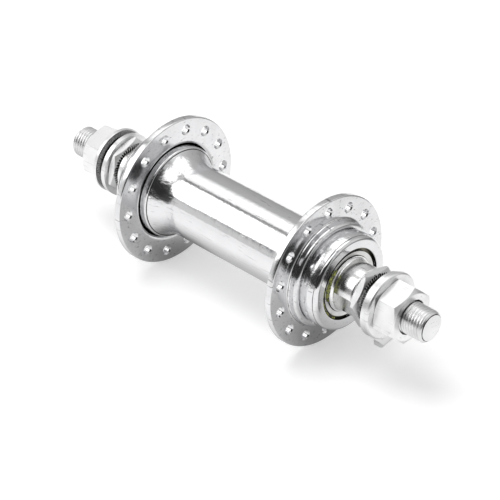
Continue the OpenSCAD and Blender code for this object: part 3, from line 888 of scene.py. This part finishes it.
def hexagon(af, z0, z1, face0_r, face1_r, side, angle):
    """A hexagonal nut with coned corners and a chamfered bore."""
    corner = af / 2 / math.cos(corner_slope)
    drop0 = (corner - face0_r) * math.tan(corner_slope)
    drop1 = (corner - face1_r) * math.tan(corner_slope)
    bm = bmesh.new()
    bmesh.ops.create_circle(bm, segments=6, radius=corner * mm, cap_ends=True)
    bmesh.ops.rotate(bm, verts=bm.verts[:], matrix=Matrix.Rotation(math.radians(90), 3, "X"))
    first = math.degrees(math.atan2(bm.verts[:][0].co.z, bm.verts[:][0].co.x))
    bmesh.ops.translate(bm, verts=bm.verts[:], vec=(0, side * z0 * mm, 0))
    up = bmesh.ops.extrude_face_region(bm, geom=bm.faces[:])
    moved = [v for v in up["geom"] if isinstance(v, bmesh.types.BMVert)]
    bmesh.ops.translate(bm, verts=moved, vec=(0, side * (z1 - z0) * mm, 0))
    around(bm, angle - first)
    bmesh.ops.recalc_face_normals(bm, faces=bm.faces[:])
    block = as_object(bm, "hexagon")
    wide = corner + corner_spare
    mouth_r = cone_bore_r + bore_chamfer
    cones = [(mouth_r, z0), (face0_r, z0), (corner, z0 + drop0), (wide, z0 + drop0 + corner_step),
             (wide, z1 - drop1 - corner_step), (corner, z1 - drop1), (face1_r, z1), (mouth_r, z1),
             (cone_bore_r, z1 - bore_chamfer), (cone_bore_r, z0 + bore_chamfer)]
    cut(block, turned(cones, side, nut_steps), "INTERSECT")
    return block


def tooth_cutters(count, r0, r1, depth, z, side, angle):
    """Square bars laid on edge, which cut V grooves from one radius out to another."""
    bar = 2 * depth / math.sqrt(2) * mm
    teeth = bmesh.new()
    for i in range(count):
        one = bmesh.new()
        bmesh.ops.create_cube(one, size=1)
        bmesh.ops.rotate(one, verts=one.verts[:], matrix=Matrix.Rotation(math.radians(45), 3, "X"))
        bmesh.ops.scale(one, verts=one.verts[:], vec=((r1 - r0) * mm, bar, bar))
        bmesh.ops.translate(one, verts=one.verts[:], vec=((r0 + r1) / 2 * mm, side * z * mm, 0))
        gather(teeth, around(one, angle + 360 * i / count))
    return teeth


def line_teeth(piece, finish, faces, depth, r0, r1, lowest):
    """Gives the sides of the teeth between two radii, above a height, a finish of their own."""
    piece.data.materials.append(finish)
    for polygon in piece.data.polygons:
        middle = polygon.center
        sunk = min(abs(abs(middle.y) / mm - face) for face in faces)
        r = math.hypot(middle.x, middle.z) / mm
        steep = abs(polygon.normal.y) < tooth_flat
        if tooth_skin < sunk < depth and steep and middle.z > lowest * mm and r0 < r < r1:
            polygon.material_index = 1


# The locknuts' dark ring is grime and painted shade where they meet the tab washers.
zinc = metal("satin_zinc", (0.93, 0.93, 0.93), (0.84, 0.84, 0.84), 0.3, 0.44, bump=0.07,
             grime_shade_rings=((6.35, 50.0, 0.5, 0.2),))
tooth_grime_shade = metal("tooth_grime_shade", grime_shade_colour, (0.06, 0.058, 0.05), 0.5, 0.65)
locknut_faces = (locknut_z, locknut_z + locknut_t)
for label, side in SIDES.items():
    locknut = hexagon(locknut_af, *locknut_faces, locknut_face_r, locknut_face_r, side, locknut_angle[label])
    for face_z in locknut_faces:
        cut(locknut, tooth_cutters(locknut_teeth, locknut_ring_r, locknut_ring_edge,
                                   tooth_depth, face_z, side, locknut_angle[label]))
    locknut.name = label + "_serrated_locknut"
    soften(locknut, locknut_edge)
    dress(locknut, label + "_locknut", zinc)
    # The sides of the teeth are painted black: grime and painted shade in the grooves.
    line_teeth(locknut, tooth_grime_shade, locknut_faces, tooth_depth,
               locknut_ring_r, locknut_ring_edge, tooth_shade_above[label])

# The tab washers are punched from sheet, and the tab's end is bent over to hook
# into the fork's eyelet. Their edges are rounded by the punch and the zinc.
tab_washer_r = 9.8
tab_washer_t = 1.5
tab_washer_shift = 0.5
tab_reach = 14.6
tab_half = 3.5
hook_len = 2.2
bend_r = 0.4
bend_steps = 8
washer_steps = 96
slide_bore_r = 4.8425
bore_punch = 3
tab_washer_z = {"right": 52.5, "left": 50.05}
tab_angle = {"right": -80, "left": -60}
tab_edge = 0.3


def tab_washer_body(side, z, angle):
    """A flat disc with its tab, whose end is spun round the bend and drawn on to the hook."""
    bend_x = tab_reach - tab_washer_t - bend_r
    run = bend_x - tab_washer_shift
    touch = math.degrees(math.atan2(tab_half, run) + math.acos(tab_washer_r / math.hypot(run, tab_half)))
    rim = arc(tab_washer_shift, 0, tab_washer_r, touch, 360 - touch, washer_steps)
    bm = bmesh.new()
    ring = [bm.verts.new((x * mm, 0, y * mm)) for x, y in rim + [(bend_x, -tab_half), (bend_x, tab_half)]]
    sheet = bm.faces.new(ring)
    tip = {ring[-1], ring[-2]}
    up = bmesh.ops.extrude_face_region(bm, geom=[sheet])
    lifted = [v for v in up["geom"] if isinstance(v, bmesh.types.BMVert)]
    bmesh.ops.translate(bm, verts=lifted, vec=(0, tab_washer_t * mm, 0))
    end_face = next(f for f in bm.faces if tip <= set(f.verts) and len(f.verts) == 4)
    bent = bmesh.ops.spin(bm, geom=[end_face], cent=(bend_x * mm, -bend_r * mm, 0), axis=(0, 0, 1),
                          angle=math.radians(-90), steps=bend_steps)
    last = [g for g in bent["geom_last"] if isinstance(g, bmesh.types.BMFace)]
    down = bmesh.ops.extrude_face_region(bm, geom=last)
    hook = [v for v in down["geom"] if isinstance(v, bmesh.types.BMVert)]
    bmesh.ops.translate(bm, verts=hook, vec=(0, (bend_r - hook_len) * mm, 0))
    bmesh.ops.delete(bm, geom=last + [end_face], context="FACES_ONLY")
    bmesh.ops.remove_doubles(bm, verts=bm.verts[:], dist=coarse_weld)
    if side < 0:
        bmesh.ops.scale(bm, verts=bm.verts[:], vec=(1, -1, 1))
    bmesh.ops.translate(bm, verts=bm.verts[:], vec=(0, side * z * mm, 0))
    around(bm, angle)
    bmesh.ops.recalc_face_normals(bm, faces=bm.faces[:])
    return bm


# The washers' dark rings are grime and painted shade in the gaps between the washers.
washer_zinc = metal("washer_zinc", (0.92, 0.92, 0.92), (0.8, 0.8, 0.8), 0.26, 0.42, bump=0.08,
                    grime_shade_rings=((7.4, 52.5, 1.6, 0.3), (9.6, 54.0, 0.35, 0.12),
                           (7.4, 54.05, 1.7, 0.5), (6.9, 53.3, 1.05, 0.5)))
for label, side in SIDES.items():
    z = tab_washer_z[label]
    washer = as_object(tab_washer_body(side, z, tab_angle[label]), label + "_punched_tab_washer")
    bore = [(core_r, z - bore_punch), (slide_bore_r, z - bore_punch),
            (slide_bore_r, z + bore_punch), (core_r, z + bore_punch)]
    cut(washer, turned(bore, side, washer_steps))
    soften(washer, tab_edge)
    dress(washer, label + "_tab_washer", washer_zinc)

# Each axle nut carries a washer of its own, which is staked on its boss and bites
# with the teeth of its inner face.
nut_washer_r = 10.0
nut_washer_t = 1.4
nut_washer_bevel = 0.35
nut_washer_rim = 0.5
nut_washer_teeth = 72
nut_washer_bite = 0.31
nut_washer_ring_r = 7.5
nut_washer_ring_edge = nut_washer_r - nut_washer_rim
nut_boss_r = 6.4
nut_boss_gap = 0.08
nut_washer_bore_r = nut_boss_r + nut_boss_gap
nut_edge = 0.14
nut_washer_z = {"right": 54.05, "left": 53.3}
# The teeth are rubbed and dirty, so little of them still shines as metal.
bitten_metal = 0.1
# Its dark rings are grime and painted shade in the gap next to the tab washer.
bitten_zinc = metal("bitten_zinc", (0.9, 0.9, 0.9), (0.7, 0.7, 0.7), 0.45, 0.6,
                    grime_shade_rings=((6.9, 54.05, 1.35, 0.9), (6.9, 53.3, 1.35, 0.9)))
bitten_zinc.node_tree.nodes["Principled BSDF"].inputs["Metallic"].default_value = bitten_metal
for label, side in SIDES.items():
    z = nut_washer_z[label]
    top = z + nut_washer_t
    outline = [(nut_washer_bore_r, z), (nut_washer_r, z), (nut_washer_r, top - nut_washer_bevel),
               (nut_washer_r - nut_washer_bevel, top), (nut_washer_bore_r, top)]
    washer = as_object(turned(outline, side, nut_steps), label + "_staked_nut_washer")
    cut(washer, tooth_cutters(nut_washer_teeth, nut_washer_ring_r, nut_washer_ring_edge,
                              nut_washer_bite, z, side, 0))
    soften(washer, nut_edge)
    dress(washer, label + "_nut_washer", washer_zinc)
    line_teeth(washer, bitten_zinc, (z,), nut_washer_bite,
               nut_washer_ring_r, nut_washer_ring_edge, -nut_washer_r)

# The axle nuts are cold-formed hexagons, coned at the outer face and zinc plated.
# The plating leaves them pale and rounds their edges.
nut_af = 15.0
nut_h = 7.2
nut_face_r = 7.1
nut_z = {"right": 55.5, "left": 54.75}
nut_boss_len = 1.15
nut_boss_root = 0.5
nut_angle = {"right": 17.5, "left": 22.5}
nut_edge_round = 0.224
nut_edge_steps = 3
# The nuts' dark rings are grime and painted shade round the bore and at the boss.
pale_zinc = metal("pale_zinc", (0.93, 0.93, 0.93), (0.84, 0.84, 0.84), 0.28, 0.44, bump=0.08,
                  grime_shade_rings=((4.85, 62.7, 0.45, 0.5), (4.85, 61.95, 0.45, 0.5), (6.4, 55.4, 0.6, 0.5),
                         (6.4, 54.7, 0.6, 0.5)))
for label, side in SIDES.items():
    z = nut_z[label]
    nut = hexagon(nut_af, z, z + nut_h, nut_af / 2, nut_face_r, side, nut_angle[label])
    boss = [(cone_bore_r, z - nut_boss_len), (nut_boss_r, z - nut_boss_len), (nut_boss_r, z + nut_boss_root),
            (cone_bore_r + bore_chamfer, z + nut_boss_root), (cone_bore_r, z + nut_boss_root)]
    cut(nut, turned(boss, side, nut_steps), "UNION")
    nut.name = label + "_coned_axle_nut"
    soften(nut, nut_edge_round, nut_edge_steps)
    dress(nut, label + "_axle_nut", pale_zinc)
